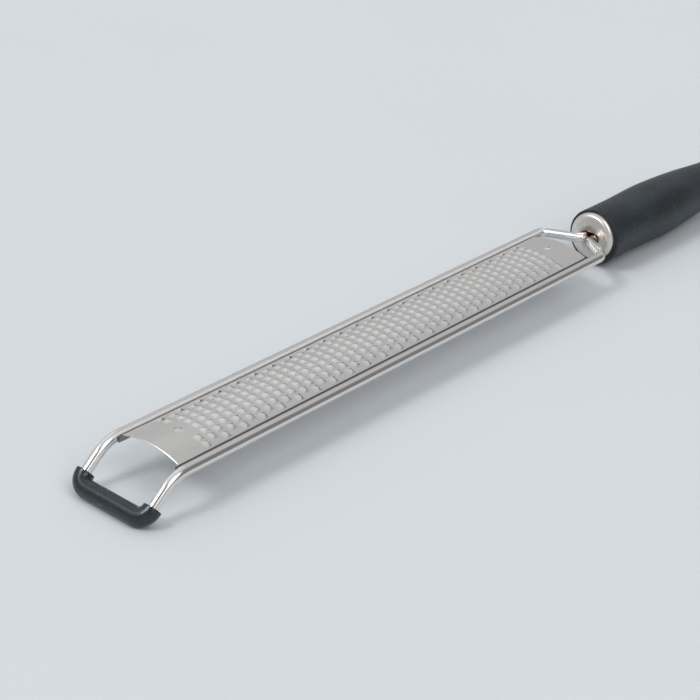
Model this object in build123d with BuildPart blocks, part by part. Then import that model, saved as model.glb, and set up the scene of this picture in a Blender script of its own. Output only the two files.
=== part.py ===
"""Rasp zester: a narrow arched grating blade held between the rails of a bent wire frame.

The frame is one round rod. Its front end drops to a cross bar in a rubber sleeve, which is the
foot, and its two tails run together through a steel ferrule into a moulded handle.

Lengths are in millimetres. Y runs along the tool from the foot to the handle, X across it and
Z up. The origin lies on the table under the middle of the tool's overall length, where the flat
under the foot and the flat under the belly of the handle both rest.
"""

import os
from math import asin, degrees, hypot, sqrt

from build123d import *

os.makedirs("parts", exist_ok=True)

# Wire frame
wire_diameter = 4.0
rail_spacing = 30.8
rail_height = 14.8
leg_reach = 12.9
front_bend_radius = 14.0
foot_bend_radius = 4.6
rear_bend_radius = 6.0
neck_reach = 11.3
tail_gap = 0.2
tail_drop = 1.4
tail_bend_radius = 5.0
tail_length = 62.0

# Rubber sleeve on the foot
sleeve_diameter = 6.8
sleeve_clearance = 0.1
sleeve_leg_length = 5.0
foot_flat_depth = 0.1

# Blade
blade_thickness = 0.5
blade_length = 237.0
blade_setback = 4.8
blade_rear_setback = 8.7
blade_edge_rise = 1.05
blade_arch_height = 2.6
flange_depth = 2.2
flange_gap = 0.05
flange_tab_length = 1.5
fold_radius = 0.7
front_hole_diameter = 3.4
front_hole_inset = 13.2
rear_hole_diameter = 3.0
rear_hole_inset = 9.0

# Teeth of the blade
tooth_row_pitch = 3.6
tooth_column_pitch = 9.31
wide_row_count = 7
tooth_field_inset = 15.6
tooth_field_rear_inset = 16.5
window_width = 2.7
window_length = 2.9
tooth_width = 2.2
tooth_reach = 1.7
tooth_rise = 0.55
tooth_thickness = 0.35
tooth_root_depth = 0.42
tooth_root_overlap = 0.5
clear_field_width = 10.0

# Ferrule
ferrule_diameter = 20.4
ferrule_drop = 1.4
ferrule_standoff = 3.0
ferrule_exposed = 3.2
ferrule_embedded = 8.0
ferrule_wall = 0.9
ferrule_face_thickness = 1.2
ferrule_shoulder_radius = 2.4
ferrule_hole_clearance = 0.35

# Handle
grip_length = 114.7
belly_diameter = 24.7
grip_lip_radius = 0.3
grip_heel_radius = 8.4
grip_tip_radius = 1.0
grip_flat_depth = 0.1
core_diameter = 13.0
core_neck_diameter = 9.0
core_taper_length = 30.0
nose_clearance = 0.05
tail_clearance = 0.05
hang_hole_diameter = 6.0
hang_hole_inset = 10.5
hang_hole_chamfer = 0.5
hang_boss_diameter = 10.0
hang_boss_height = 12.4
hang_dish_diameter = 13.0

# Outline of the grip, as shares of its length and of the radius of its belly
grip_front_share = (0.0, 0.965)
grip_waist_share = (0.16, 0.96)
grip_belly_share = (0.41, 1.0)
grip_palm_share = (0.60, 0.905)
grip_taper_share = (0.76, 0.772)
front_slope_share = (1.0, 0.0)
heel_slope_share = (1.0, 0.0)

# Every cut runs past the faces that it opens by this much
overrun = 5.0

# The rails carry the whole blade, and reach their bends a little before and behind it
rail_length = blade_setback + blade_length + blade_rear_setback

# Stations along the tool, counted from its front end
overall_length = (
    sleeve_diameter / 2
    + leg_reach
    + rail_length
    + neck_reach
    + ferrule_standoff
    + ferrule_exposed
    + grip_length
)
foot_y = sleeve_diameter / 2 - overall_length / 2
front_bend_y = foot_y + leg_reach
rear_bend_y = front_bend_y + rail_length
tail_bend_y = rear_bend_y + neck_reach
ferrule_y = tail_bend_y + ferrule_standoff
grip_y = ferrule_y + ferrule_exposed
handle_end_y = grip_y + grip_length
blade_front_y = front_bend_y + blade_setback
blade_rear_y = blade_front_y + blade_length

# Heights above the table
foot_z = sleeve_diameter / 2 - foot_flat_depth
tail_z = rail_height - tail_drop
ferrule_z = rail_height - ferrule_drop
handle_z = belly_diameter / 2 - grip_flat_depth
blade_edge_z = rail_height + blade_edge_rise
blade_crown_z = blade_edge_z + blade_arch_height

rail_x = rail_spacing / 2
tail_x = (wire_diameter + tail_gap) / 2

# The rod, from one tail round the foot to the other, as the corners of its centre line
leg_length = hypot(leg_reach, rail_height - foot_z)
right_side = [
    (tail_x, tail_bend_y + tail_length, tail_z),
    (tail_x, tail_bend_y, tail_z),
    (rail_x, rear_bend_y, rail_height),
    (rail_x, front_bend_y, rail_height),
    (rail_x, foot_y, foot_z),
]
left_side = [(-x, y, z) for x, y, z in reversed(right_side)]
bend_radii = [tail_bend_radius, rear_bend_radius, front_bend_radius, foot_bend_radius]

with BuildPart() as wire_frame:
    with BuildLine() as rod_path:
        FilletPolyline(*right_side, *left_side, radius=bend_radii + bend_radii[::-1])
    rod_start = Plane(
        origin=right_side[0],
        x_dir=(1, 0, 0),
        z_dir=(0, -1, 0),
    )
    with BuildSketch(rod_start):
        Circle(wire_diameter / 2)
    sweep(path=rod_path.wires()[0])

wire_frame.part.label = "wire_frame"
export_step(wire_frame.part, "parts/wire_frame.step")

# The sleeve follows the rod round the foot and ends square across each leg
sleeve_share = sleeve_leg_length / leg_length
sleeve_end_y = foot_y + leg_reach * sleeve_share
sleeve_end_z = foot_z + (rail_height - foot_z) * sleeve_share
sleeve_corners = [
    (rail_x, sleeve_end_y, sleeve_end_z),
    (rail_x, foot_y, foot_z),
    (-rail_x, foot_y, foot_z),
    (-rail_x, sleeve_end_y, sleeve_end_z),
]

with BuildPart() as foot_sleeve:
    with BuildLine() as sleeve_path:
        FilletPolyline(*sleeve_corners, radius=foot_bend_radius)
    sleeve_start = Plane(
        origin=sleeve_corners[0],
        x_dir=(1, 0, 0),
        z_dir=(0, foot_y - sleeve_end_y, foot_z - sleeve_end_z),
    )
    with BuildSketch(sleeve_start):
        Circle(sleeve_diameter / 2)
        Circle(wire_diameter / 2 + sleeve_clearance, mode=Mode.SUBTRACT)
    sweep(path=sleeve_path.wires()[0])
    split(bisect_by=Plane.XY, keep=Keep.TOP)

foot_sleeve.part.label = "foot_sleeve"
export_step(foot_sleeve.part, "parts/foot_sleeve.step")

# The blade is an arched sheet with a flange folded down along each rail
flange_x = rail_x - wire_diameter / 2 - flange_gap
arch_radius = (flange_x**2 + blade_arch_height**2) / (2 * blade_arch_height)
arch_z = blade_crown_z - arch_radius
inner_x = flange_x - blade_thickness
inner_radius = arch_radius - blade_thickness
inner_edge_z = arch_z + sqrt(inner_radius**2 - inner_x**2)
flange_z = blade_edge_z - flange_depth
field_y = blade_front_y + tooth_field_inset
field_length = blade_length - tooth_field_inset - tooth_field_rear_inset
narrow_column_count = int(field_length / tooth_column_pitch)
wide_column_count = narrow_column_count + 1
narrow_row_count = wide_row_count - 1


def arch_place(x, y):
    """Give the place on top of the arch at x and y, turned to lie flat on it."""
    lean = asin(x / arch_radius)
    height = arch_z + sqrt(arch_radius**2 - x**2)
    return Location((x, y, height), (0, degrees(lean), 0))


# Teeth stand in a brick pattern, and the middle ones of the first column give way to a hole
tooth_spots = []
for column in range(wide_column_count):
    for row in range(wide_row_count):
        x = (row - (wide_row_count - 1) / 2) * tooth_row_pitch
        if column > 0 or abs(x) > clear_field_width / 2:
            tooth_spots.append((x, field_y + column * tooth_column_pitch))
for column in range(narrow_column_count):
    for row in range(narrow_row_count):
        x = (row - (narrow_row_count - 1) / 2) * tooth_row_pitch
        tooth_spots.append((x, field_y + (column + 1 / 2) * tooth_column_pitch))

# One tooth is a tongue that leaves the sheet at the front of its window and rises to its tip
with BuildPart() as tooth:
    with BuildSketch(Plane.YZ):
        with BuildLine():
            Polyline(
                (-window_length / 2 - tooth_root_overlap, -tooth_root_depth),
                (tooth_reach - window_length / 2, tooth_rise - tooth_thickness),
                (tooth_reach - window_length / 2, tooth_rise),
                (-window_length / 2 - tooth_root_overlap, tooth_thickness - tooth_root_depth),
                close=True,
            )
        make_face()
    extrude(amount=tooth_width / 2, both=True)

with BuildPart() as grater_blade:
    with BuildSketch(Plane.XZ.offset(-blade_rear_y)) as section:
        with BuildLine():
            Line((-flange_x, flange_z), (-flange_x, blade_edge_z))
            ThreePointArc((-flange_x, blade_edge_z), (0, blade_crown_z), (flange_x, blade_edge_z))
            Line((flange_x, blade_edge_z), (flange_x, flange_z))
            Line((flange_x, flange_z), (inner_x, flange_z))
            Line((inner_x, flange_z), (inner_x, inner_edge_z))
            ThreePointArc(
                (inner_x, inner_edge_z),
                (0, blade_crown_z - blade_thickness),
                (-inner_x, inner_edge_z),
            )
            Line((-inner_x, inner_edge_z), (-inner_x, flange_z))
            Line((-inner_x, flange_z), (-flange_x, flange_z))
        make_face()
        fillet(section.vertices().group_by(Axis.Y)[1], fold_radius - blade_thickness)
        fillet(section.vertices().group_by(Axis.Y)[-1], fold_radius)
    extrude(amount=blade_length + flange_tab_length)
    with BuildSketch(Plane.XY.offset(flange_z)):
        with Locations((0, blade_front_y - flange_tab_length / 2)):
            Rectangle(2 * inner_x, flange_tab_length)
    extrude(amount=blade_crown_z - flange_z, mode=Mode.SUBTRACT)
    with BuildSketch(Plane.XY.offset(flange_z)):
        with Locations(*tooth_spots):
            Rectangle(window_width, window_length)
        with Locations((0, blade_front_y + front_hole_inset)):
            Circle(front_hole_diameter / 2)
        with Locations((0, blade_rear_y - rear_hole_inset)):
            Circle(rear_hole_diameter / 2)
    extrude(amount=blade_crown_z - flange_z + overrun, mode=Mode.SUBTRACT)
    with Locations(*[arch_place(x, y) for x, y in tooth_spots]):
        add(tooth.part)

grater_blade.part.label = "grater_blade"
export_step(grater_blade.part, "parts/grater_blade.step")

# The ferrule is a cup, with its face across the wires and its skirt inside the front of the grip
ferrule_length = ferrule_exposed + ferrule_embedded
ferrule_end_y = ferrule_y + ferrule_length
cup_y = ferrule_y + ferrule_face_thickness
cup_radius = ferrule_diameter / 2 - ferrule_wall

with BuildPart() as ferrule:
    with BuildSketch(Plane.XZ.offset(-ferrule_y)):
        with Locations((0, ferrule_z)):
            Circle(ferrule_diameter / 2)
    extrude(amount=-ferrule_length)
    fillet(ferrule.edges().group_by(Axis.Y)[0], ferrule_shoulder_radius)
    with BuildSketch(Plane.XZ.offset(-cup_y)):
        with Locations((0, ferrule_z)):
            Circle(cup_radius)
    extrude(amount=cup_y - ferrule_end_y, mode=Mode.SUBTRACT)
    with BuildSketch(Plane.XZ.offset(-ferrule_y)):
        with Locations((0, tail_z)):
            SlotCenterToCenter(2 * tail_x, wire_diameter + 2 * ferrule_hole_clearance)
    extrude(amount=-ferrule_face_thickness, mode=Mode.SUBTRACT)

ferrule.part.label = "ferrule"
export_step(ferrule.part, "parts/ferrule.step")

# The hard core fills the ferrule, grips both tails and ends in the boss of the hanging hole
hang_y = handle_end_y - hang_hole_inset
heel_round_radius = grip_heel_radius - grip_tip_radius
heel_y = handle_end_y - heel_round_radius
taper_y = hang_y - core_taper_length
handle_axis = Axis((0, 0, handle_z), (0, 1, 0))
hang_plane = Plane.XY.offset(handle_z)
core_outline = [
    (ferrule_end_y, handle_z),
    (ferrule_end_y, handle_z + core_diameter / 2),
    (taper_y, handle_z + core_diameter / 2),
    (hang_y, handle_z + core_neck_diameter / 2),
    (hang_y, handle_z),
]

with BuildPart() as handle_core:
    with BuildSketch(Plane.YZ):
        with BuildLine():
            Polyline(*core_outline, close=True)
        make_face()
    revolve(axis=handle_axis)
    with BuildSketch(Plane.XZ.offset(-cup_y)):
        with Locations((0, ferrule_z)):
            Circle(cup_radius - nose_clearance)
    extrude(amount=cup_y - ferrule_end_y)
    with BuildSketch(Plane.XZ.offset(-cup_y)):
        with Locations((0, tail_z)):
            SlotCenterToCenter(2 * tail_x, wire_diameter + 2 * tail_clearance)
    extrude(amount=cup_y - tail_bend_y - tail_length, mode=Mode.SUBTRACT)
    with BuildSketch(hang_plane):
        with Locations((0, hang_y)):
            Circle(hang_boss_diameter / 2)
    extrude(amount=hang_boss_height / 2, both=True)
    with BuildSketch(hang_plane):
        with Locations((0, hang_y)):
            Circle(hang_hole_diameter / 2)
    extrude(amount=hang_boss_height / 2, both=True, mode=Mode.SUBTRACT)
    bore_edges = handle_core.edges().filter_by(GeomType.CIRCLE)
    mouth_edges = [edge for edge in bore_edges if edge.radius == hang_hole_diameter / 2]
    chamfer(mouth_edges, hang_hole_chamfer)

handle_core.part.label = "handle_core"
export_step(handle_core.part, "parts/handle_core.step")


def grip_point(shares):
    """Give a point of the grip's outline from its shares of the length and the belly radius."""
    return (grip_y + grip_length * shares[0], handle_z + belly_diameter / 2 * shares[1])


# The soft grip is moulded round the core and round the skirt of the ferrule
with BuildPart() as handle_grip:
    with BuildSketch(Plane.YZ):
        with BuildLine():
            Line((grip_y, handle_z), grip_point(grip_front_share))
            Spline(
                grip_point(grip_front_share),
                grip_point(grip_waist_share),
                grip_point(grip_belly_share),
                grip_point(grip_palm_share),
                grip_point(grip_taper_share),
                (heel_y, handle_z + grip_heel_radius),
                tangents=(front_slope_share, heel_slope_share),
            )
            JernArc((heel_y, handle_z + grip_heel_radius), (1, 0), heel_round_radius, -90)
            Line((handle_end_y, handle_z + grip_tip_radius), (handle_end_y, handle_z))
            Line((handle_end_y, handle_z), (grip_y, handle_z))
        make_face()
    revolve(axis=handle_axis)
    fillet(handle_grip.edges().group_by(Axis.Y)[0], grip_lip_radius)
    split(bisect_by=Plane.XY, keep=Keep.TOP)
    with BuildSketch(hang_plane.offset(hang_boss_height / 2)):
        with Locations((0, hang_y)):
            Circle(hang_dish_diameter / 2)
    extrude(amount=handle_z, mode=Mode.SUBTRACT)
    with BuildSketch(hang_plane.offset(-hang_boss_height / 2)):
        with Locations((0, hang_y)):
            Circle(hang_dish_diameter / 2)
    extrude(amount=-handle_z, mode=Mode.SUBTRACT)
    with BuildSketch(hang_plane):
        with Locations((0, hang_y)):
            Circle(hang_boss_diameter / 2)
    extrude(amount=hang_boss_height / 2, both=True, mode=Mode.SUBTRACT)
    with BuildSketch(Plane.XZ.offset(-grip_y)):
        with Locations((0, ferrule_z)):
            Circle(ferrule_diameter / 2)
    extrude(amount=grip_y - ferrule_end_y, mode=Mode.SUBTRACT)
    with BuildSketch(Plane.YZ):
        with BuildLine():
            Polyline(*core_outline, close=True)
        make_face()
    revolve(axis=handle_axis, mode=Mode.SUBTRACT)

handle_grip.part.label = "handle_grip"
export_step(handle_grip.part, "parts/handle_grip.step")
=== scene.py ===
"""Rasp zester: the looks of the tool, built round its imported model."""

from math import asin, cos, floor, pi, radians, sin, sqrt, tan

import bmesh
import bpy
from bpy.props import FloatProperty, FloatVectorProperty, IntProperty, PointerProperty
from mathutils import Matrix, Vector


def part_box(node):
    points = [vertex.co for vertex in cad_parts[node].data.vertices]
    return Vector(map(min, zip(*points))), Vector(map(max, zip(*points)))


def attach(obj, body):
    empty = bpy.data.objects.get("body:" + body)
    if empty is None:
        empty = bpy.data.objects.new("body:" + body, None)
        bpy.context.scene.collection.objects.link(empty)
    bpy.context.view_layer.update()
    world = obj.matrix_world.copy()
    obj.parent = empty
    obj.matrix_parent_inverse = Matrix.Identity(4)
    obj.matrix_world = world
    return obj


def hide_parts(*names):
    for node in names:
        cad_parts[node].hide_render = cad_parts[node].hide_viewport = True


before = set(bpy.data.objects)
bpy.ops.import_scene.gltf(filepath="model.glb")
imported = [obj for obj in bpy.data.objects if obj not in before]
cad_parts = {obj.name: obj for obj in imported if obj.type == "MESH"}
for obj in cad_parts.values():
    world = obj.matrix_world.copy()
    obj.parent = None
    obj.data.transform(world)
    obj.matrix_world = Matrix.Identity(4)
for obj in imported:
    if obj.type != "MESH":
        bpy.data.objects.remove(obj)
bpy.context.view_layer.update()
MM = 0.001

bl_info = {
    "name": "Rasp Zester",
    "version": (1, 0, 0),
    "blender": (4, 5, 0),
    "location": "3D View > Sidebar > Zester",
    "description": "Builds the wire frame, the toothed blade, the foot, the ferrule and the grip",
    "category": "Add Mesh",
}


def length(text, millimetres):
    """Give a length property whose default is in millimetres."""
    return FloatProperty(description=text, default=millimetres * MM, unit="LENGTH", precision=5)


def colour(text, value):
    """Give a colour property in linear values."""
    return FloatVectorProperty(description=text, default=value, subtype="COLOR", min=0.0, max=1.0)


def number(text, value):
    """Give a property for a plain number, such as a share."""
    return FloatProperty(description=text, default=value)


def span(text, low, high):
    """Give a property for the least and the most of a value."""
    return FloatVectorProperty(description=text, default=(low, high), size=2)


def whole_number(text, value, least=1):
    """Give a property for a whole number."""
    return IntProperty(description=text, default=value, min=least)


def angle(text, degrees):
    """Give an angle property whose default is in degrees."""
    return FloatProperty(description=text, default=radians(degrees), subtype="ANGLE")


class RodSettings(bpy.types.PropertyGroup):
    """Sizes and finish of the bent rod that is the tool's frame."""

    diameter: length("Thickness of the round rod", 4.0)
    leg_reach: length("How far each leg runs forward while it drops", 12.9)
    rail_length: length("Length of each rail between its bends", 250.5)
    neck_reach: length("Length over which the rails come together", 11.3)
    tail_drop: length("How far the tails lie under the rails", 1.4)
    tail_gap: length("Gap between the two tails", 0.2)
    front_bend: length("Radius of the bend from rail to leg", 14.0)
    foot_bend: length("Radius of the bend from leg to cross bar", 4.6)
    rear_bend: length("Radius of the bend behind each rail", 6.0)
    tail_bend: length("Radius of the bend into each tail", 5.0)
    sides: whole_number("Faces around the rod", 40, 8)
    arc_steps: whole_number("Steps round a bend", 20, 4)
    tint: colour("Colour of the polished steel", (0.80, 0.79, 0.78))
    roughness: span("Least and most roughness of the steel", 0.11, 0.17)
    # The brown tint in front of the ferrule is partly a rust stain and partly a painted reflection of
    # the rusty ferrule in the polished wires.
    stain: colour("Colour of the stain in front of the ferrule", (0.50, 0.27, 0.14))
    stain_reach: length("How far the stain runs from the ferrule", 6.0)
    stain_share: number("Strength of the stain at the ferrule", 0.55)
    # Painted highlight: a strip along the top of the far rail is made pale and non-metallic, so that it
    # shows as a bright reflected line.
    seam_offset: length("From the far rail's axis to its frosted seam", 1.3)
    seam_core: length("Half the width of the fully frosted seam", 0.2)
    seam_edge: length("Half the width at which the seam ends", 0.5)
    seam_share: number("How frosted the seam is", 0.9)
    seam_top: length("Depth under the rail's top at which the seam is full", 1.2)
    seam_foot: length("Depth under the rail's top at which the seam ends", 1.6)


class BladeSettings(bpy.types.PropertyGroup):
    """Sizes and finish of the arched blade and of its teeth."""

    thickness: length("Thickness of the sheet", 0.5)
    arch_height: length("Height of the crown over the arch's edges", 2.6)
    flange_depth: length("Depth of the folded flanges", 2.2)
    tab_length: length("How far the flanges reach in front of the arch", 1.5)
    edge_bevel: length("Bevel along the front edge of the arch", 0.12)
    fold_radius: length("Outer radius of the fold along each rail", 0.55)
    row_pitch: length("From one tooth to the next across the blade", 3.6)
    column_pitch: length("From one tooth to the next along the blade", 9.31)
    wide_rows: whole_number("Teeth across a wide column", 7)
    wide_columns: whole_number("Wide columns of teeth", 23)
    field_inset: length("From the front edge to the first teeth", 15.6)
    clear_width: length("Width without teeth in the first column", 10.0)
    window_width: length("Width of the opening at a tooth", 2.7)
    window_length: length("Length of the opening at a tooth", 2.9)
    tooth_width: length("Width of a tooth", 2.2)
    tooth_reach: length("Length of a tooth along the blade", 1.7)
    tooth_rise: length("Height of a tooth's tip over the sheet", 0.55)
    front_hole: length("Diameter of the hole in front of the teeth", 3.4)
    front_hole_inset: length("From the front edge to that hole", 13.2)
    rear_hole: length("Diameter of the hole behind the teeth", 3.0)
    rear_hole_inset: length("From the rear edge to that hole", 9.0)
    tip_round: number("How far a tooth's tip is rounded off, as a share", 0.35)
    tip_share: number("Thickness of a tip as a share of the sheet's", 0.35)
    dome: number("How far a tooth's sides lie under its middle, as a share", 0.55)
    tooth_steps: whole_number("Steps along a tooth", 4)
    fold_steps: whole_number("Steps round the fold along each rail", 6)
    tint: colour("Colour of the satin steel", (0.76, 0.755, 0.74))
    dull_share: number("Tint of the duller clouds, as a share", 0.95)
    roughness: span("Least and most roughness of the steel", 0.26, 0.36)
    # Painted shade: the fold and flange along each rail are darkened to stand in for the shade in the
    # gap between the fold and the rail.
    crease: colour("Colour of the dark line along each fold", (0.20, 0.20, 0.21))
    crease_start: length("From the blade's side to where the crease starts", 0.7)
    crease_full: length("From the blade's side to where the crease is full", 0.4)


class FootSettings(bpy.types.PropertyGroup):
    """Sizes and finish of the rubber sleeve on the cross bar."""

    diameter: length("Outer diameter of the sleeve", 6.8)
    clearance: length("Gap between the rod and the sleeve", 0.1)
    leg_length: length("How far the sleeve runs up each leg", 5.0)
    lip_radius: length("Rounding of the sleeve's two ends", 0.3)
    lip_steps: whole_number("Steps round the rounding of an end", 4)
    tint: colour("Colour of the rubber", (0.004, 0.007, 0.010))
    speck: colour("Colour of the dust on the rubber", (0.10, 0.105, 0.11))


class FerruleSettings(bpy.types.PropertyGroup):
    """Sizes and finish of the steel cup at the front of the handle."""

    shoulder: length("Radius of the rounded shoulder", 2.4)
    wall: length("Thickness of the cup's skirt", 0.9)
    face_thickness: length("Thickness of the cup's face", 1.2)
    hole_clearance: length("Gap between the hole and the wires", 0.35)
    sides: whole_number("Faces around the cup", 96, 16)
    shoulder_steps: whole_number("Steps round the shoulder", 8)
    tint: colour("Colour of the turned steel", (0.71, 0.69, 0.65))
    rust: colour("Colour of the stain round the wires", (0.22, 0.085, 0.03))
    rust_offset: length("How far the stain lies to the left of the wires", 0.5)
    rust_core: length("Radius within which the stain is full", 2.6)
    rust_edge: length("Radius at which the stain ends", 5.6)
    rust_ragged: length("How far the stain's edge strays", 1.2)
    rust_share: number("Strength of the stain at the wires", 0.75)


class GripSettings(bpy.types.PropertyGroup):
    """Sizes and finish of the soft grip."""

    belly_diameter: length("Thickest part of the grip", 24.7)
    lip_radius: length("Rounding of the front edge", 0.3)
    front_lift: length("How far the grip rises towards its front", 0.4)
    lift_start: length("From the front to where the rise starts to fade", 30.0)
    lift_fade: length("Length over which the rise fades", 22.0)
    heel_radius: length("Radius of the round end", 8.4)
    tip_radius: length("Radius of the small flat on the end", 1.0)
    core_diameter: length("Diameter of the hard core", 13.0)
    core_neck: length("Diameter of the core's narrow end", 9.0)
    core_taper: length("Length of the core's taper", 30.0)
    hang_inset: length("From the end to the middle of the hanging hole", 10.5)
    boss_diameter: length("Diameter of the core's boss", 10.0)
    boss_height: length("Height of the core's boss", 12.4)
    dish_diameter: length("Diameter of the flat dish round the boss", 13.0)
    sides: whole_number("Faces around the grip", 96, 16)
    run_steps: whole_number("Steps from one station of the outline to the next", 14)
    lip_steps: whole_number("Steps round the rounding of the front edge", 4)
    heel_steps: whole_number("Steps round the end", 16)
    tint: colour("Colour of the grip", (0.010, 0.014, 0.018))
    speck: colour("Colour of the dust on the grip", (0.11, 0.115, 0.12))
    core_tint: colour("Colour of the hard core", (0.040, 0.041, 0.045))
    core_speck: colour("Colour of the dust on the core", (0.09, 0.09, 0.09))


class StageSettings(bpy.types.PropertyGroup):
    """The table, the lamp, the room's light and the camera."""

    camera_place: FloatVectorProperty(
        description="Where the camera stands", default=(0.39951, -0.59938, 0.36635),
        subtype="TRANSLATION", unit="LENGTH", precision=5,
    )
    azimuth: angle("Turn of the view about the upright axis", 37.34)
    elevation: angle("How steeply the camera looks down", 27.98)
    roll: angle("Turn of the camera about its own axis", 5.26)
    lens: number("Focal length in millimetres", 105.558)
    sensor: number("Width of the camera's sensor in millimetres", 36.0)
    clip: span("Nearest and farthest that the camera sees, in metres", 0.01, 20.0)
    key_strength: number("Strength of the soft lamp", 0.95)
    key_spread: angle("Angle over which the soft lamp shines", 18)
    key_from: FloatVectorProperty(
        description="Where the soft lamp shines from", default=(-0.30, -0.82, 1.0),
        subtype="DIRECTION",
    )
    table_size: length("Width of the table", 4000.0)
    table_tint: colour("Colour of the pale table", (0.680, 0.718, 0.748))
    dull_share: number("Tint of the table's duller clouds, as a share", 0.97)
    sky_tint: colour("Light from above", (0.57, 0.57, 0.57))
    sky_rise: number("Height on the unit sphere from which the sky is full", 0.8)
    horizon_tint: colour("Light from the sides", (0.48, 0.48, 0.49))
    backdrop: colour("What the camera sees past the table", (0.80, 0.82, 0.85))


def add_node(tree, kind, inputs=None, **settings):
    """Add a node with these settings, and link or set the inputs named."""
    node = tree.nodes.new(kind)
    for name, value in settings.items():
        setattr(node, name, value)
    for name, value in (inputs or {}).items():
        if isinstance(value, bpy.types.NodeSocket):
            tree.links.new(value, node.inputs[name])
        else:
            node.inputs[name].default_value = value
    return node


def reckon(tree, operation, first, second=0.0):
    """Add a math node and give its result."""
    return add_node(tree, "ShaderNodeMath", {0: first, 1: second}, operation=operation).outputs[0]


def new_material(name, tint, **values):
    """Give a material with its tree, its shader and its object coordinates."""
    material = bpy.data.materials.new(name)
    material.use_nodes = True
    tree = material.node_tree
    shader = tree.nodes["Principled BSDF"]
    shader.inputs["Base Color"].default_value = (*tint, 1.0)
    for socket, value in values.items():
        shader.inputs[socket.replace("_", " ")].default_value = value
    place = tree.nodes.new("ShaderNodeTexCoord").outputs["Object"]
    return material, tree, shader, place


def noise_at(tree, place, scale, stretch=(1.0, 1.0, 1.0), detail=3.0):
    """Give noise on object coordinates, squeezed by stretch on each axis."""
    mapping = add_node(tree, "ShaderNodeMapping", {"Vector": place, "Scale": stretch})
    inputs = {"Vector": mapping.outputs["Vector"], "Scale": scale, "Detail": detail}
    return add_node(tree, "ShaderNodeTexNoise", inputs).outputs["Fac"]


def ranged(tree, value, low, high, to_low=0.0, to_high=1.0):
    """Map a value from one range to another, and clamp it there."""
    inputs = {"Value": value, "From Min": low, "From Max": high, "To Min": to_low, "To Max": to_high}
    return add_node(tree, "ShaderNodeMapRange", inputs).outputs["Result"]


# Numbers of a mix node's sockets for its two colours and for their mix
MIX_FIRST = 6
MIX_SECOND = 7
MIX_RESULT = 2


def blended(tree, share, first, second):
    """Mix two colours by a share."""
    inputs = {"Factor": share}
    for socket, value in ((MIX_FIRST, first), (MIX_SECOND, second)):
        inputs[socket] = value if isinstance(value, bpy.types.NodeSocket) else (*value, 1.0)
    return add_node(tree, "ShaderNodeMix", inputs, data_type="RGBA").outputs[MIX_RESULT]


def roughened(tree, shader, noise, least, most, low, high):
    """Let noise from low to high drive the shader's roughness from least to most."""
    tree.links.new(ranged(tree, noise, low, high, least, most), shader.inputs["Roughness"])


def bumped(tree, shader, height, strength, distance):
    """Give the shader a bump from a height."""
    inputs = {"Height": height, "Strength": strength, "Distance": distance}
    bump = add_node(tree, "ShaderNodeBump", inputs)
    tree.links.new(bump.outputs["Normal"], shader.inputs["Normal"])


def polished_rod_steel(rod):
    """Drawn and polished rod, with faint streaks, a painted highlight along the far rail, and a brown
    tint at the ferrule that is part rust stain, part painted reflection of the rusty ferrule.
    """
    material, tree, shader, place = new_material("polished_rod_steel", rod.tint, Metallic=1.0)
    streaks = noise_at(tree, place, scale=900.0, stretch=(1.0, 0.03, 0.06))
    roughened(tree, shader, streaks, *rod.roughness, low=0.3, high=0.7)
    bumped(tree, shader, streaks, strength=0.05, distance=0.02 * MM)
    parts = add_node(tree, "ShaderNodeSeparateXYZ", {"Vector": place}).outputs
    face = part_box("ferrule")[0].y
    # Brown towards the ferrule: partly a rust stain, partly a painted reflection of the rusty ferrule.
    near_face = ranged(tree, parts["Y"], face - rod.stain_reach, face, to_high=rod.stain_share)
    broken = ranged(tree, streaks, low=0.35, high=0.65, to_low=0.4)
    stain = reckon(tree, "MULTIPLY", near_face, broken)
    tone = blended(tree, stain, tuple(rod.tint), tuple(rod.stain))
    tree.links.new(tone, shader.inputs["Base Color"])
    # Painted highlight: a pale, non-metallic strip near the top of the far rail stands in for a bright
    # reflected line.
    low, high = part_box("wire_frame")
    highlight_x = low.x + rod.diameter / 2 + rod.seam_offset
    off_highlight = reckon(tree, "ABSOLUTE", reckon(tree, "SUBTRACT", parts["X"], highlight_x))
    painted_highlight = ranged(tree, off_highlight, rod.seam_core, rod.seam_edge, to_low=rod.seam_share, to_high=0.0)
    on_top = ranged(tree, parts["Z"], high.z - rod.seam_foot, high.z - rod.seam_top)
    whitened = reckon(tree, "MULTIPLY", painted_highlight, on_top)
    tree.links.new(reckon(tree, "SUBTRACT", 1.0, whitened), shader.inputs["Metallic"])
    return material


def satin_blade_steel(blade):
    """Etched sheet with a satin face, a fine grain along it and painted shade along each fold, for the
    dark gap between fold and rail.
    """
    material, tree, shader, place = new_material("satin_blade_steel", blade.tint, Metallic=1.0)
    grain = noise_at(tree, place, scale=1500.0, stretch=(1.0, 0.04, 1.0))
    cloud = noise_at(tree, place, scale=60.0)
    roughened(tree, shader, grain, *blade.roughness, low=0.25, high=0.75)
    dull = tuple(blade.dull_share * part for part in blade.tint)
    satin = blended(tree, cloud, dull, tuple(blade.tint))
    across = add_node(tree, "ShaderNodeSeparateXYZ", {"Vector": place}).outputs["X"]
    from_middle = reckon(tree, "ABSOLUTE", across)
    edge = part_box("grater_blade")[1].x
    # Painted shade: darker from near each side of the blade outwards, for the shade in the gap at the
    # rail.
    crease = ranged(tree, from_middle, edge - blade.crease_start, edge - blade.crease_full)
    tree.links.new(blended(tree, crease, satin, tuple(blade.crease)), shader.inputs["Base Color"])
    bumped(tree, shader, grain, strength=0.12, distance=0.04 * MM)
    return material


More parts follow.
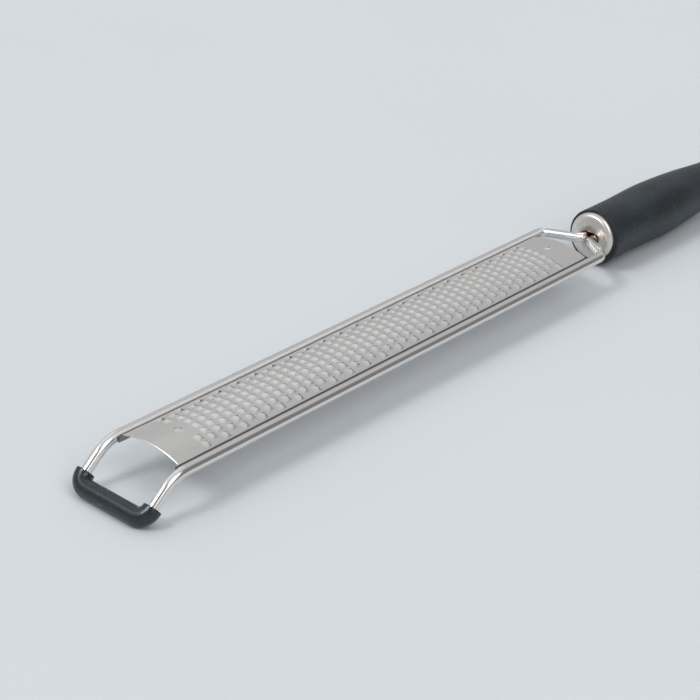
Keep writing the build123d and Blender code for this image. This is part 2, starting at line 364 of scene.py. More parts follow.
def turned_steel(ferrule, rust_centre):
    """Turned steel, whose rings spread its highlights, with a rust stain at the hole."""
    material, tree, shader, place = new_material(
        "turned_steel", ferrule.tint, Metallic=1.0, Roughness=0.30, Anisotropic=0.75
    )
    tangent = add_node(tree, "ShaderNodeTangent", direction_type="RADIAL", axis="Y")
    tree.links.new(tangent.outputs["Tangent"], shader.inputs["Tangent"])
    inputs = {0: place, 1: rust_centre}
    gap = add_node(tree, "ShaderNodeVectorMath", inputs, operation="DISTANCE").outputs["Value"]
    blotch = noise_at(tree, place, scale=700.0)
    ragged = ferrule.rust_ragged
    stray = ranged(tree, blotch, low=0.2, high=0.8, to_low=-ragged, to_high=ragged)
    reach = reckon(tree, "ADD", gap, stray)
    share = ranged(
        tree, reach, ferrule.rust_core, ferrule.rust_edge, to_low=ferrule.rust_share, to_high=0.0
    )
    tone = blended(tree, share, tuple(ferrule.tint), tuple(ferrule.rust))
    tree.links.new(tone, shader.inputs["Base Color"])
    return material


# Tint of the highlights on rubber and plastic
COOL_SHEEN = (0.86, 0.95, 1.0, 1.0)
# How far the roughness of rubber and plastic strays to either side
ROUGHNESS_STRAY = 0.06
# Rubbed patches are paler by this factor and this amount
RUBBED_FACTOR = 1.9
RUBBED_LIFT = 0.003


def soft_black(name, tint, speck, roughness, gloss):
    """Matte rubber or plastic with a fine grain, rubbed patches and a few pale specks of dust."""
    material, tree, shader, place = new_material(
        name, tint, Specular_IOR_Level=gloss, Specular_Tint=COOL_SHEEN
    )
    grain = noise_at(tree, place, scale=2500.0)
    spread = roughness - ROUGHNESS_STRAY, roughness + ROUGHNESS_STRAY
    roughened(tree, shader, grain, *spread, low=0.3, high=0.7)
    bumped(tree, shader, grain, strength=0.25, distance=0.04 * MM)
    patches = noise_at(tree, place, scale=90.0, stretch=(1.0, 0.45, 1.0))
    wear = ranged(tree, patches, low=0.42, high=0.68)
    pale = tuple(part * RUBBED_FACTOR + RUBBED_LIFT for part in tint)
    rubbed = blended(tree, wear, tuple(tint), pale)
    grit = noise_at(tree, place, scale=1100.0, detail=0.0)
    dust = ranged(tree, grit, low=0.74, high=0.80, to_high=0.6)
    tree.links.new(blended(tree, dust, rubbed, tuple(speck)), shader.inputs["Base Color"])
    return material


def finish_shading(mesh, crease=40):
    """Shade a mesh smooth but for its edges sharper than crease, in degrees."""
    mesh.shade_smooth()
    mesh.set_sharp_from_angle(angle=radians(crease))


def add_piece(name, verts, faces, material, closed=True):
    """Link a mesh of these points and faces, and turn the faces of a closed one outwards."""
    mesh = bpy.data.meshes.new(name)
    mesh.from_pydata([tuple(vert) for vert in verts], [], faces)
    if closed:
        shape = bmesh.new()
        shape.from_mesh(mesh)
        bmesh.ops.recalc_face_normals(shape, faces=shape.faces)
        shape.to_mesh(mesh)
        shape.free()
    if material:
        mesh.materials.append(material)
    finish_shading(mesh)
    piece = bpy.data.objects.new(name, mesh)
    bpy.context.scene.collection.objects.link(piece)
    return piece


def settle(piece):
    """Turn a piece with modifiers into its plain mesh."""
    graph = bpy.context.evaluated_depsgraph_get()
    mesh = bpy.data.meshes.new_from_object(piece.evaluated_get(graph))
    old = piece.data
    piece.modifiers.clear()
    piece.data = mesh
    bpy.data.meshes.remove(old)
    mesh.name = piece.name


def discard(piece):
    """Remove a helper object with its mesh."""
    mesh = piece.data
    bpy.data.objects.remove(piece)
    bpy.data.meshes.remove(mesh)


def claim(piece, node):
    """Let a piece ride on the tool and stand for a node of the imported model."""
    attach(piece, "root")
    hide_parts(node)


def round_ring(centre, radius, sides, first=(0, 0, 1)):
    """Give the points of a circle about centre, through the directions first and X."""
    return [
        Vector(centre) + (Vector(first) * cos(turn) + Vector((1, 0, 0)) * sin(turn)) * radius
        for turn in (2 * pi * step / sides for step in range(sides))
    ]


def skin(rings, closed=False):
    """Give the points and faces of a skin over rings, joined end to end or capped."""
    sides = len(rings[0])
    count = len(rings)
    faces = []
    for index in range(count if closed else count - 1):
        low = index * sides
        high = (index + 1) % count * sides
        for step in range(sides):
            after = (step + 1) % sides
            faces.append((low + step, low + after, high + after, high + step))
    if not closed:
        faces.append(tuple(reversed(range(sides))))
        faces.append(tuple(range((count - 1) * sides, count * sides)))
    return [point for ring in rings for point in ring], faces


def cut(piece, spools, sides=64):
    """Cut upright spools out of a piece, each a place along the tool and (height, radius) steps."""
    verts, faces = [], []
    for along, steps in spools:
        rings = [round_ring((0, along, height), radius, sides, (0, 1, 0)) for height, radius in steps]
        points, joins = skin(rings)
        faces += [tuple(len(verts) + index for index in face) for face in joins]
        verts += points
    cutter = add_piece("cutter", verts, faces, None)
    boolean = piece.modifiers.new("cut", "BOOLEAN")
    boolean.object = cutter
    boolean.operation = "DIFFERENCE"
    boolean.solver = "EXACT"
    settle(piece)
    discard(cutter)
    finish_shading(piece.data)


def rounded_path(corners, radii, steps):
    """Give points along straight runs joined by arcs of these radii, one for each inner corner."""
    points = [corners[0]]
    for before, corner, after, radius in zip(corners, corners[1:], corners[2:], radii):
        back = (before - corner).normalized()
        ahead = (after - corner).normalized()
        half = back.angle(ahead) / 2
        centre = corner + (back + ahead).normalized() * (radius / sin(half))
        start = corner + back * (radius / tan(half)) - centre
        end = corner + ahead * (radius / tan(half)) - centre
        turn = start.angle(end)
        for step in range(steps + 1):
            share = step / steps
            spoke = (start * sin((1 - share) * turn) + end * sin(share * turn)) / sin(turn)
            points.append(centre + spoke)
    points.append(corners[-1])
    return points


def path_frames(points):
    """Give each point of a path with its direction and two directions square to it."""
    frames = []
    side = (points[1] - points[0]).orthogonal()
    for index, point in enumerate(points):
        ahead = points[min(index + 1, len(points) - 1)] - point
        back = point - points[max(index - 1, 0)]
        run = (ahead.normalized() + back.normalized()).normalized()
        side = (side - run * side.dot(run)).normalized()
        frames.append((point, run, side, run.cross(side)))
    return frames


def ring_on(place, setback, radius, sides):
    """Give a ring about a place of a path, moved along the path by setback."""
    point, run, side, other = place
    return [
        point + run * setback + (side * cos(turn) + other * sin(turn)) * radius
        for turn in (2 * pi * step / sides for step in range(sides))
    ]


def rod_corners(rod):
    """Give the corners of the rod's centre line, from one tail round the foot to the other."""
    low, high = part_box("wire_frame")
    radius = rod.diameter / 2
    foot_y = low.y + radius
    foot_z = low.z + radius
    rail_z = high.z - radius
    rail_x = high.x - radius
    bend_y = foot_y + rod.leg_reach
    rear_y = bend_y + rod.rail_length
    tail_x = (rod.diameter + rod.tail_gap) / 2
    right_side = [
        Vector((tail_x, high.y, rail_z - rod.tail_drop)),
        Vector((tail_x, rear_y + rod.neck_reach, rail_z - rod.tail_drop)),
        Vector((rail_x, rear_y, rail_z)),
        Vector((rail_x, bend_y, rail_z)),
        Vector((rail_x, foot_y, foot_z)),
    ]
    return right_side + [Vector((-x, y, z)) for x, y, z in reversed(right_side)]


class ZESTER_OT_wire_frame(bpy.types.Operator):
    """Bend the rod of the frame from its two tails round to the foot"""

    bl_idname = "zester.wire_frame"
    bl_label = "Wire Frame"

    def execute(self, context):
        rod = context.scene.zester_rod
        radii = [rod.tail_bend, rod.rear_bend, rod.front_bend, rod.foot_bend]
        points = rounded_path(rod_corners(rod), radii + radii[::-1], rod.arc_steps)
        rings = [ring_on(place, 0, rod.diameter / 2, rod.sides) for place in path_frames(points)]
        piece = add_piece("wire_rod", *skin(rings), polished_rod_steel(rod))
        claim(piece, "wire_frame")
        return {"FINISHED"}


class ZESTER_OT_foot_sleeve(bpy.types.Operator):
    """Pull the rubber sleeve over the cross bar and its two bends"""

    bl_idname = "zester.foot_sleeve"
    bl_label = "Foot Sleeve"

    def execute(self, context):
        rod = context.scene.zester_rod
        foot = context.scene.zester_foot
        corners = rod_corners(rod)
        middle = len(corners) // 2
        bend, right, left = corners[middle - 2:middle + 1]
        climb = (bend - right).normalized() * foot.leg_length
        ends = [right + climb, right, left, left + climb]
        places = path_frames(rounded_path(ends, [rod.foot_bend] * 2, rod.arc_steps))
        outer = foot.diameter / 2
        bore = rod.diameter / 2 + foot.clearance
        lip = [
            (foot.lip_radius * (1 - cos(turn)), outer - foot.lip_radius * (1 - sin(turn)))
            for turn in (pi / 2 * step / foot.lip_steps for step in range(foot.lip_steps + 1))
        ]
        first = [ring_on(places[0], setback, radius, rod.sides) for setback, radius in lip]
        last = [ring_on(places[-1], -setback, radius, rod.sides) for setback, radius in lip]
        skirt = [ring_on(place, 0, outer, rod.sides) for place in places[1:-1]]
        inner = [ring_on(place, 0, bore, rod.sides) for place in places]
        verts, faces = skin(first + skirt + last[::-1] + inner[::-1], closed=True)
        for vert in verts:
            vert.z = max(vert.z, 0.0)
        rubber = soft_black("foot_rubber", foot.tint, foot.speck, roughness=0.25, gloss=0.7)
        piece = add_piece("rubber_sleeve", verts, faces, rubber)
        claim(piece, "foot_sleeve")
        return {"FINISHED"}


def arch_of(blade):
    """Give the radius of the blade's arch and the height of its centre."""
    low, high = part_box("grater_blade")
    radius = (high.x**2 + blade.arch_height**2) / (2 * blade.arch_height)
    return radius, low.z + blade.flange_depth + blade.arch_height - radius


def cell_offsets(blade):
    """Give the lines that neighbouring cells share within half a row pitch."""
    half = blade.row_pitch / 2
    window = blade.window_width / 2
    tongue = blade.tooth_width / 2
    return [0.0, half - window, half - tongue, tongue, window]


def blade_profile(blade):
    """Give the (x, z) points across the blade, and how many of them make each fold and flange."""
    low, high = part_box("grater_blade")
    radius, middle = arch_of(blade)
    fold_x = high.x - blade.fold_radius
    lean = asin(fold_x / (radius - blade.fold_radius))
    fold_z = middle + (radius - blade.fold_radius) * cos(lean)
    side = []
    for step in range(blade.fold_steps + 1):
        turn = lean + (pi / 2 - lean) * step / blade.fold_steps
        side.append((fold_x + blade.fold_radius * sin(turn), fold_z + blade.fold_radius * cos(turn)))
    side.append((high.x, low.z))
    half = blade.row_pitch / 2
    lines = [half * index + offset
             for index in range(-blade.wide_rows, blade.wide_rows) for offset in cell_offsets(blade)]
    lines.append(half * blade.wide_rows)
    arch = [(x, middle + sqrt(radius**2 - x**2)) for x in lines]
    return [(-x, z) for x, z in reversed(side)] + arch + side, len(side)


def blade_sheet(blade):
    """Give the points and faces of the sheet without the cells that carry teeth."""
    low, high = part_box("grater_blade")
    profile, fold = blade_profile(blade)
    front = low.y + blade.tab_length
    start = front + blade.field_inset
    quarter = blade.column_pitch / 4
    window = blade.window_length / 2
    stations = [(low.y, None), (front, None), (front + blade.edge_bevel, None), (start - quarter, None)]
    for column in range(2 * blade.wide_columns - 1):
        centre = start + 2 * quarter * column
        stations += [(centre - window, column), (centre + window, column), (centre + quarter, column)]
    stations.append((high.y, None))
    clear = (floor(blade.clear_width / 2 / blade.row_pitch) + 0.5) * blade.row_pitch
    verts, faces, known = [], [], {}

    def corner(row, line):
        if (row, line) not in known:
            x, z = profile[line]
            if row == 1 and fold <= line < len(profile) - fold:
                z -= blade.edge_bevel
            known[row, line] = len(verts)
            verts.append((x, stations[row][0], z))
        return known[row, line]

    for row in range(len(stations) - 1):
        column = stations[row + 1][1]
        for line in range(len(profile) - 1):
            across = abs(profile[line][0] + profile[line + 1][0]) / 2
            if row == 0 and fold - 1 <= line < len(profile) - fold:
                continue
            if column is not None:
                rows = blade.wide_rows - column % 2
                inner = clear if column == 0 else -1.0
                if inner < across < rows * blade.row_pitch / 2:
                    continue
            faces.append((corner(row, line), corner(row, line + 1),
                          corner(row + 1, line + 1), corner(row + 1, line)))
    return verts, faces


# Decimals of a metre to which the corners of a cell are told apart
CORNER_DIGITS = 7


def tooth_cell(blade):
    """Give one cell of the sheet, with its window and the tongue that rises in it."""
    half = blade.row_pitch / 2
    lines = [-half + offset for offset in cell_offsets(blade)] + cell_offsets(blade) + [half]
    quarter = blade.column_pitch / 4
    window = blade.window_length / 2
    verts, faces, thinning, known = [], [], [], {}

    def corner(x, y, z=0.0, thin=0.0):
        key = (round(x, CORNER_DIGITS), round(y, CORNER_DIGITS))
        if key not in known:
            known[key] = len(verts)
            verts.append((x, y, z))
            thinning.append(thin)
        return known[key]

    def quad(left, right, low, high):
        faces.append((corner(left, low), corner(right, low), corner(right, high), corner(left, high)))

    steps = [step / blade.tooth_steps for step in range(blade.tooth_steps + 1)]
    for left, right in zip(lines, lines[1:]):
        quad(left, right, -quarter, -window)
        quad(left, right, window, quarter)
        across = abs(left + right) / 2
        if across > blade.window_width / 2:
            quad(left, right, -window, window)
            continue
        for near, far in zip(steps, steps[1:]):
            loop = []
            for x, share in ((left, near), (right, near), (right, far), (left, far)):
                out = (2 * x / blade.window_width) ** 2
                along = blade.tooth_reach * share * (1 - blade.tip_round * out)
                rise = blade.tooth_rise * share * (1 - blade.dome * out)
                width = 1 - (1 - blade.tooth_width / blade.window_width) * share**2
                loop.append(corner(x * width, along - window, rise, share))
            faces.append(tuple(loop))
    return verts, faces, thinning


# Points nearer than this are welded into one
WELD_DISTANCE = 0.01 * MM


def teeth_tree():
    """Build the node tree that sets a tooth in every cell and bends the cells over the arch."""
    tree = bpy.data.node_groups.new("blade_teeth", "GeometryNodeTree")
    tree.is_modifier = True
    for name, kind in (
        ("Geometry", "Geometry"), ("Cell", "Object"), ("Row Pitch", "Float"),
        ("Column Pitch", "Float"), ("Wide Rows", "Int"), ("Wide Columns", "Int"),
        ("Clear Width", "Float"), ("Field Middle", "Float"), ("Arch Radius", "Float"),
        ("Arch Centre", "Float"), ("Material", "Material"),
    ):
        tree.interface.new_socket(name=name, in_out="INPUT", socket_type=f"NodeSocket{kind}")
    tree.interface.new_socket(name="Geometry", in_out="OUTPUT", socket_type="NodeSocketGeometry")
    given = tree.nodes.new("NodeGroupInput").outputs

    def times(first, second):
        return reckon(tree, "MULTIPLY", first, second)

    def less_one(value):
        return reckon(tree, "SUBTRACT", value, 1.0)

    def shaped(kind, inputs, **settings):
        return add_node(tree, f"GeometryNode{kind}", inputs, **settings).outputs["Geometry"]

    def joined(*parts):
        node = tree.nodes.new("GeometryNodeJoinGeometry")
        for part in parts:
            tree.links.new(part, node.inputs["Geometry"])
        return node.outputs["Geometry"]

    def field(rows, columns):
        width = times(less_one(rows), given["Row Pitch"])
        reach = times(less_one(columns), given["Column Pitch"])
        inputs = {"Size X": width, "Size Y": reach, "Vertices X": rows, "Vertices Y": columns}
        return add_node(tree, "GeometryNodeMeshGrid", inputs).outputs["Mesh"], reach

    wide, reach = field(given["Wide Rows"], given["Wide Columns"])
    narrow = field(less_one(given["Wide Rows"]), less_one(given["Wide Columns"]))[0]
    position = tree.nodes.new("GeometryNodeInputPosition").outputs["Position"]
    place = add_node(tree, "ShaderNodeSeparateXYZ", {"Vector": position}).outputs
    from_front = reckon(tree, "ADD", place["Y"], times(reach, 0.5))
    in_first = reckon(tree, "LESS_THAN", from_front, times(given["Column Pitch"], 0.5))
    from_middle = reckon(tree, "ABSOLUTE", place["X"])
    in_middle = reckon(tree, "LESS_THAN", from_middle, times(given["Clear Width"], 0.5))
    doomed = {"Geometry": wide, "Selection": times(in_first, in_middle)}
    kept = shaped("DeleteGeometry", doomed, domain="POINT")
    middle = add_node(tree, "ShaderNodeCombineXYZ", {"Y": given["Field Middle"]}).outputs["Vector"]
    spots = shaped("Transform", {"Geometry": joined(kept, narrow), "Translation": middle})
    inputs = {"Points": spots, "Instance": shaped("ObjectInfo", {"Object": given["Cell"]})}
    teeth = add_node(tree, "GeometryNodeInstanceOnPoints", inputs).outputs["Instances"]
    loose = shaped("RealizeInstances", {"Geometry": teeth})
    lean = reckon(tree, "DIVIDE", place["X"], given["Arch Radius"])
    drop = reckon(tree, "SQRT", reckon(tree, "SUBTRACT", 1.0, times(lean, lean)))
    spoke = reckon(tree, "ADD", given["Arch Radius"], place["Z"])
    bent = add_node(tree, "ShaderNodeCombineXYZ", {
        "X": reckon(tree, "ADD", place["X"], times(place["Z"], lean)),
        "Y": place["Y"],
        "Z": reckon(tree, "ADD", given["Arch Centre"], times(spoke, drop)),
    })
    arched = shaped("SetPosition", {"Geometry": loose, "Position": bent.outputs["Vector"]})
    whole = joined(arched, given["Geometry"])
    welded = shaped("MergeByDistance", {"Geometry": whole, "Distance": WELD_DISTANCE})
    real = shaped("RealizeInstances", {"Geometry": welded})
    coated = shaped("SetMaterial", {"Geometry": real, "Material": given["Material"]})
    out = tree.nodes.new("NodeGroupOutput")
    tree.links.new(coated, out.inputs["Geometry"])
    return tree


def set_inputs(modifier, **values):
    """Set a node modifier's inputs by the identifiers of the sockets with these names."""
    for item in modifier.node_group.interface.items_tree:
        name = item.name.replace(" ", "_")
        if item.in_out == "INPUT" and name in values:
            modifier[item.identifier] = values.pop(name)
    if values:
        raise ValueError(f"The tree has no inputs named {sorted(values)}")


# Decimals to which the shares of the sheet's thickness are told apart
WEIGHT_DIGITS = 3


class ZESTER_OT_grater_blade(bpy.types.Operator):
    """Fold the arched blade, raise its teeth and drill its two holes"""

    bl_idname = "zester.grater_blade"
    bl_label = "Grater Blade"

    def execute(self, context):
        blade = context.scene.zester_blade
        low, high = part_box("grater_blade")
        radius, middle = arch_of(blade)
        front = low.y + blade.tab_length
        steel = satin_blade_steel(blade)
        piece = add_piece("toothed_blade", *blade_sheet(blade), steel, closed=False)
        verts, faces, thinning = tooth_cell(blade)
        cell = add_piece("tooth_cell", verts, faces, None, closed=False)
        thin = cell.data.attributes.new("thinning", "FLOAT", "POINT")
        thin.data.foreach_set("value", thinning)
        teeth = piece.modifiers.new("teeth", "NODES")
        teeth.node_group = teeth_tree()
        field_length = blade.column_pitch * (blade.wide_columns - 1)
        set_inputs(
            teeth, Cell=cell, Row_Pitch=blade.row_pitch, Column_Pitch=blade.column_pitch,
            Wide_Rows=blade.wide_rows, Wide_Columns=blade.wide_columns,
            Clear_Width=blade.clear_width, Field_Middle=front + blade.field_inset + field_length / 2,
            Arch_Radius=radius, Arch_Centre=middle, Material=steel,
        )
        settle(piece)
        discard(cell)
        self.thicken(piece, blade)
        cut(piece, [
            (along, [(low.z, width / 2), (high.z + blade.arch_height, width / 2)])
            for along, width in (
                (front + blade.front_hole_inset, blade.front_hole),
                (high.y - blade.rear_hole_inset, blade.rear_hole),
            )
        ])
        claim(piece, "grater_blade")
        return {"FINISHED"}

    def thicken(self, piece, blade):
        """Give the sheet its thickness, less towards the tips of the teeth."""
        group = piece.vertex_groups.new(name="sheet")
        weights = {}
        for index, entry in enumerate(piece.data.attributes["thinning"].data):
            weights.setdefault(round(1.0 - entry.value, WEIGHT_DIGITS), []).append(index)
        for weight, indices in weights.items():
            group.add(indices, weight, "REPLACE")
        wall = piece.modifiers.new("wall", "SOLIDIFY")
        wall.thickness = blade.thickness
        wall.offset = -1.0
        wall.vertex_group = group.name
        wall.thickness_vertex_group = blade.tip_share
        wall.use_even_offset = True
        settle(piece)
        piece.vertex_groups.clear()


# Least number to divide by
TINY = 1e-9


def stadium_ring(centre, spread, radius, sides):
    """Give the outline of a round-ended slot, by equal turns about its middle."""
    ring = []
    for step in range(sides):
        turn = 2 * pi * step / sides
        across, up = sin(turn), cos(turn)
        reach = radius / max(abs(up), TINY)
        if reach * abs(across) > spread:
            reach = spread * abs(across) + sqrt(radius**2 - (spread * up) ** 2)
        ring.append(Vector(centre) + Vector((across, 0, up)) * reach)
    return ring


class ZESTER_OT_ferrule(bpy.types.Operator):
    """Turn the steel cup with its shoulder and its hole for the wires"""

    bl_idname = "zester.ferrule"
    bl_label = "Ferrule"

    def execute(self, context):
        rod = context.scene.zester_rod
        cup = context.scene.zester_ferrule
        low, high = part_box("ferrule")
        radius = (high.z - low.z) / 2
        centre = (high.z + low.z) / 2
        tail_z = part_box("wire_frame")[1].z - rod.diameter / 2 - rod.tail_drop
        spread = (rod.diameter + rod.tail_gap) / 2
        slot = rod.diameter / 2 + cup.hole_clearance
        back = low.y + cup.face_thickness
        steps = [(low.y, (spread + slot + radius - cup.shoulder) / 2)]
        for step in range(cup.shoulder_steps + 1):
            turn = pi / 2 * step / cup.shoulder_steps
            reach = radius - cup.shoulder * (1 - sin(turn))
            steps.append((low.y + cup.shoulder * (1 - cos(turn)), reach))
        steps += [(high.y, radius), (high.y, radius - cup.wall), (back, radius - cup.wall)]
        rings = [stadium_ring((0, y, tail_z), spread, slot, cup.sides) for y in (back, low.y)]
        rings += [round_ring((0, y, centre), reach, cup.sides) for y, reach in steps]
        steel = turned_steel(cup, (-cup.rust_offset, low.y, tail_z))
        piece = add_piece("steel_ferrule", *skin(rings, closed=True), steel)
        claim(piece, "ferrule")
        return {"FINISHED"}


def eased_line(points, first_slope, last_slope, steps):
    """Give points on a smooth line through these (place, value) points."""
    slopes = [first_slope]
    for before, here, after in zip(points, points[1:], points[2:]):
        ahead = (after[1] - here[1]) / (after[0] - here[0])
        behind = (here[1] - before[1]) / (here[0] - before[0])
        share = (here[0] - before[0]) / (after[0] - before[0])
        slopes.append(behind * (1 - share) + ahead * share)
    slopes.append(last_slope)
    line = []
    for index in range(len(points) - 1):
        start, value = points[index]
        end, goal = points[index + 1]
        span = end - start
        for step in range(steps):
            t = step / steps
            line.append((start + span * t, (
                value * (2 * t**3 - 3 * t**2 + 1)
                + goal * (3 * t**2 - 2 * t**3)
                + span * slopes[index] * (t**3 - 2 * t**2 + t)
                + span * slopes[index + 1] * (t**3 - t**2)
            )))
    line.append(points[-1])
    return line


# Outline of the grip from its front: share of its length, share of the radius of its belly
GRIP_OUTLINE = ((0.0, 0.965), (0.16, 0.96), (0.41, 1.0), (0.60, 0.905), (0.76, 0.772))
# Radius of the cap that ends the grip's inside, as a share of the radius of its tip
CAP_SHARE = 0.1


class ZESTER_OT_handle_grip(bpy.types.Operator):
    """Mould the soft grip round the core and sink its hanging hole"""

    bl_idname = "zester.handle_grip"
    bl_label = "Handle Grip"

    def execute(self, context):
        grip = context.scene.zester_grip
        low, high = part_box("handle_grip")
        cup_low, cup_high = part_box("ferrule")
        belly = grip.belly_diameter / 2
        axis_z = high.z - belly
        hang_y = high.y - grip.hang_inset
        rings = [
            round_ring((0, y, axis_z), radius, grip.sides)
            for y, radius in (
                (hang_y, grip.tip_radius * CAP_SHARE),
                (hang_y, grip.core_neck / 2),
                (hang_y - grip.core_taper, grip.core_diameter / 2),
                (cup_high.y, grip.core_diameter / 2),
            )
        ]
        cup_z = (cup_low.z + cup_high.z) / 2
        cup_radius = (cup_high.z - cup_low.z) / 2
        rings += [round_ring((0, y, cup_z), cup_radius, grip.sides) for y in (cup_high.y, low.y)]
        inside = len(rings) * grip.sides
        rings += [round_ring((0, y, axis_z), radius, grip.sides)
                  for y, radius in self.outline(grip, low.y, high.y)]
        verts, faces = skin(rings)
        for vert in verts[inside:]:
            share = min(max((vert.y - low.y - grip.lift_start) / grip.lift_fade, 0.0), 1.0)
            vert.z += grip.front_lift * (1 - share * share * (3 - 2 * share))
        for vert in verts:
            vert.z = max(vert.z, 0.0)
        rubber = soft_black("grip_rubber", grip.tint, grip.speck, roughness=0.48, gloss=0.50)
        piece = add_piece("soft_grip", verts, faces, rubber)
        boss, dish, hole = grip.boss_height / 2, grip.dish_diameter / 2, grip.boss_diameter / 2
        cut(piece, [(hang_y, [
            (axis_z - 2 * belly, dish), (axis_z - boss, dish), (axis_z - boss, hole),
            (axis_z + boss, hole), (axis_z + boss, dish), (axis_z + 2 * belly, dish),
        ])])
        claim(piece, "handle_grip")
        plastic = soft_black(
            "core_plastic", grip.core_tint, grip.core_speck, roughness=0.45, gloss=0.5
        )
        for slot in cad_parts["handle_core"].material_slots:
            slot.material = plastic
        return {"FINISHED"}

    def outline(self, grip, front, end):
        """Give the (place, radius) points of the grip from its front lip to its tip."""
        reach = end - front
        heel = grip.heel_radius - grip.tip_radius
        lip = grip.lip_radius
        belly = grip.belly_diameter / 2
        points = [(front + reach * along, belly * share) for along, share in GRIP_OUTLINE]
        points.append((end - heel, grip.heel_radius))
        line = eased_line(points, 0.0, 0.0, grip.run_steps)
        lips = [(front + lip * (1 - sin(turn)), line[0][1] - lip * (1 - cos(turn)))
                for turn in (pi / 2 * (1 - step / grip.lip_steps) for step in range(grip.lip_steps))]
        dome = [(end - heel * (1 - sin(turn)), grip.tip_radius + heel * cos(turn))
                for turn in (pi / 2 * (step + 1) / grip.heel_steps for step in range(grip.heel_steps))]
        return lips + [spot for spot in line if spot[0] > front + lip] + dome


# Places of the room that the steel mirrors: direction, light, inner and outer angle in degrees
ROOM = (
    ((0.62, 0.66, 0.38), (0.21, 0.21, 0.215), 16, 42),
    ((0.74, 0.67, 0.03), (0.30, 0.245, 0.19), 4, 13),
    ((0.84, -0.30, 0.46), (0.85, 0.85, 0.87), 5, 15),
    ((-0.60, 0.12, 0.79), (0.86, 0.86, 0.85), 12, 38),
    ((-0.92, 0.33, 0.20), (0.66, 0.66, 0.66), 8, 22),
    ((0.60, -0.06, 0.80), (2.7, 2.7, 2.73), 8, 28),
    ((-0.50, -0.42, 0.75), (1.9, 1.9, 1.9), 5, 15),
    ((0.36, -0.55, 0.75), (0.26, 0.26, 0.265), 8, 24),
)


def light_the_world(scene, stage):
    """Fill the world with soft light, and show it pale where the camera sees past the table."""
    world = bpy.data.worlds.new("studio")
    world.use_nodes = True
    scene.world = world
    tree = world.node_tree
    back = tree.nodes["Background"]
    up = tree.nodes.new("ShaderNodeTexCoord").outputs["Generated"]
    height = add_node(tree, "ShaderNodeSeparateXYZ", {"Vector": up}).outputs["Z"]
    share = ranged(tree, height, 0.0, stage.sky_rise)
    glow = blended(tree, share, tuple(stage.horizon_tint), tuple(stage.sky_tint))
    for direction, light, inner, outer in ROOM:
        inputs = {0: up, 1: Vector(direction).normalized()}
        near = add_node(tree, "ShaderNodeVectorMath", inputs, operation="DOT_PRODUCT").outputs["Value"]
        patch = ranged(tree, near, cos(radians(outer)), cos(radians(inner)))
        patch.node.interpolation_type = "SMOOTHSTEP"
        glow = blended(tree, patch, glow, light)
    seen = tree.nodes.new("ShaderNodeLightPath").outputs["Is Camera Ray"]
    tree.links.new(blended(tree, seen, glow, tuple(stage.backdrop)), back.inputs["Color"])
    back.inputs["Strength"].default_value = 1.0


def add_key(stage):
    """Hang a broad lamp so far off that it lights the whole table evenly."""
    lamp = bpy.data.lights.new("soft_key", "SUN")
    lamp.energy = stage.key_strength
    lamp.angle = stage.key_spread
    piece = bpy.data.objects.new("soft_key", lamp)
    piece.matrix_world = Vector(stage.key_from).to_track_quat("Z", "Y").to_matrix().to_4x4()
    bpy.context.scene.collection.objects.link(piece)


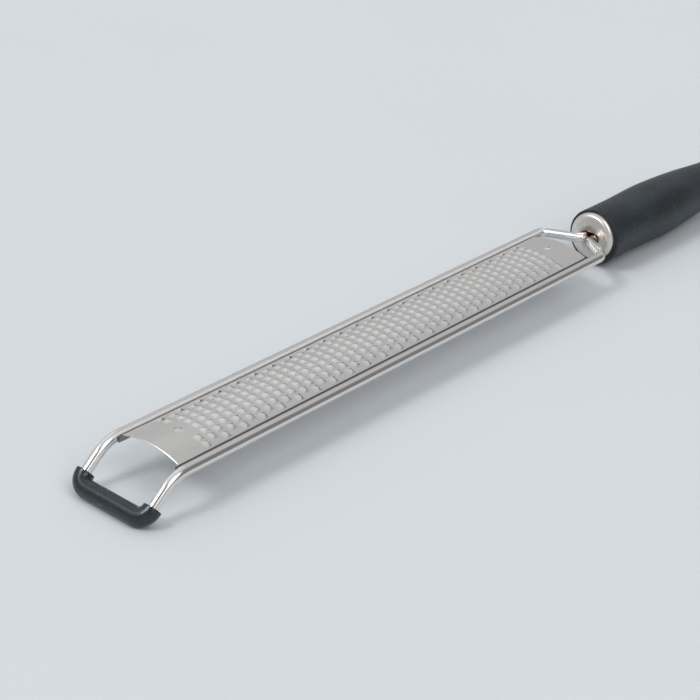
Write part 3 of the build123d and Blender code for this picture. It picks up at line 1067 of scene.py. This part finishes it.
class ZESTER_OT_stage(bpy.types.Operator):
    """Lay the table, hang the lamp and set up the camera"""

    bl_idname = "zester.stage"
    bl_label = "Stage"

    def execute(self, context):
        scene = context.scene
        stage = scene.zester_stage
        half = stage.table_size / 2
        material, tree, shader, place = new_material(
            "pale_table", stage.table_tint, Roughness=0.6, Specular_IOR_Level=0.2
        )
        cloud = noise_at(tree, place, scale=8.0)
        dull = tuple(stage.dull_share * part for part in stage.table_tint)
        tree.links.new(blended(tree, cloud, dull, tuple(stage.table_tint)), shader.inputs["Base Color"])
        corners = [(-half, -half, 0), (half, -half, 0), (half, half, 0), (-half, half, 0)]
        add_piece("table", corners, [(0, 1, 2, 3)], material, closed=False)
        light_the_world(scene, stage)
        add_key(stage)
        camera = bpy.data.cameras.new("camera")
        camera.lens = stage.lens
        camera.sensor_width = stage.sensor
        camera.clip_start, camera.clip_end = stage.clip
        viewer = bpy.data.objects.new("camera", camera)
        viewer.matrix_world = (
            Matrix.Translation(stage.camera_place)
            @ Matrix.Rotation(stage.azimuth, 4, "Z")
            @ Matrix.Rotation(pi / 2 - stage.elevation, 4, "X")
            @ Matrix.Rotation(stage.roll, 4, "Z")
        )
        scene.collection.objects.link(viewer)
        scene.camera = viewer
        scene.view_settings.view_transform = "Standard"
        return {"FINISHED"}


STEPS = (
    ZESTER_OT_wire_frame,
    ZESTER_OT_grater_blade,
    ZESTER_OT_foot_sleeve,
    ZESTER_OT_ferrule,
    ZESTER_OT_handle_grip,
    ZESTER_OT_stage,
)
SETTINGS = {
    "zester_rod": RodSettings,
    "zester_blade": BladeSettings,
    "zester_foot": FootSettings,
    "zester_ferrule": FerruleSettings,
    "zester_grip": GripSettings,
    "zester_stage": StageSettings,
}


class ZESTER_PT_panel(bpy.types.Panel):
    """Lists the steps that build the zester."""

    bl_idname = "ZESTER_PT_panel"
    bl_label = "Rasp Zester"
    bl_space_type = "VIEW_3D"
    bl_region_type = "UI"
    bl_category = "Zester"

    def draw(self, context):
        for step in STEPS:
            self.layout.operator(step.bl_idname)


def register():
    """Register the settings, each labelled with its own name, the steps and the panel."""
    for name, group in SETTINGS.items():
        for setting, entry in group.__annotations__.items():
            entry.keywords["name"] = setting.replace("_", " ").capitalize()
        bpy.utils.register_class(group)
        setattr(bpy.types.Scene, name, PointerProperty(type=group))
    for step in STEPS:
        bpy.utils.register_class(step)
    bpy.utils.register_class(ZESTER_PT_panel)


def unregister():
    """Remove what register added."""
    bpy.utils.unregister_class(ZESTER_PT_panel)
    for step in reversed(STEPS):
        bpy.utils.unregister_class(step)
    for name, group in reversed(SETTINGS.items()):
        delattr(bpy.types.Scene, name)
        bpy.utils.unregister_class(group)


def main():
    """Build every piece in order."""
    register()
    for step in STEPS:
        group, name = step.bl_idname.split(".")
        getattr(getattr(bpy.ops, group), name)()


if __name__ == "__main__":
    main()
